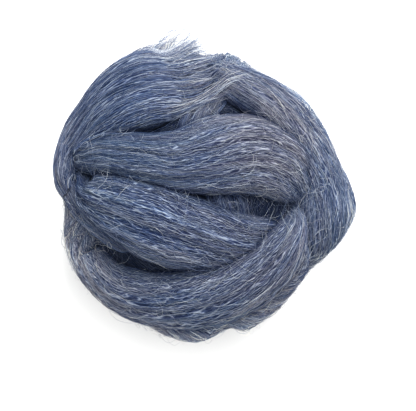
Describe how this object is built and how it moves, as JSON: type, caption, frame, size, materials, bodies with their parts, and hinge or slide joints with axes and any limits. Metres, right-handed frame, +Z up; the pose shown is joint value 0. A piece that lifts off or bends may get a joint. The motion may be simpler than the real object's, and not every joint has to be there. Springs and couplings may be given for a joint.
{
  "type": "ball of wool roving",
  "caption": "Soft round ball wound from one broad strand of combed heather wool, its loose end laid back over the turns and fanned out.",
  "frame": {"origin": "middle of the ball's outline seen from above, on the surface that its flat spot rests on", "axes": "+Z up; seen from above, as in the picture, +X to the picture's right and +Y to the picture's top, where the loose end fans out"},
  "size_m": [0.1606, 0.1606, 0.1242],
  "materials": {
    "heather_wool": "matte combed wool, heathered blue-grey"
  },
  "bodies": {
    "root": {"wound_ball": "heather_wool", "loose_end": "heather_wool"}
  },
  "joints": []
}
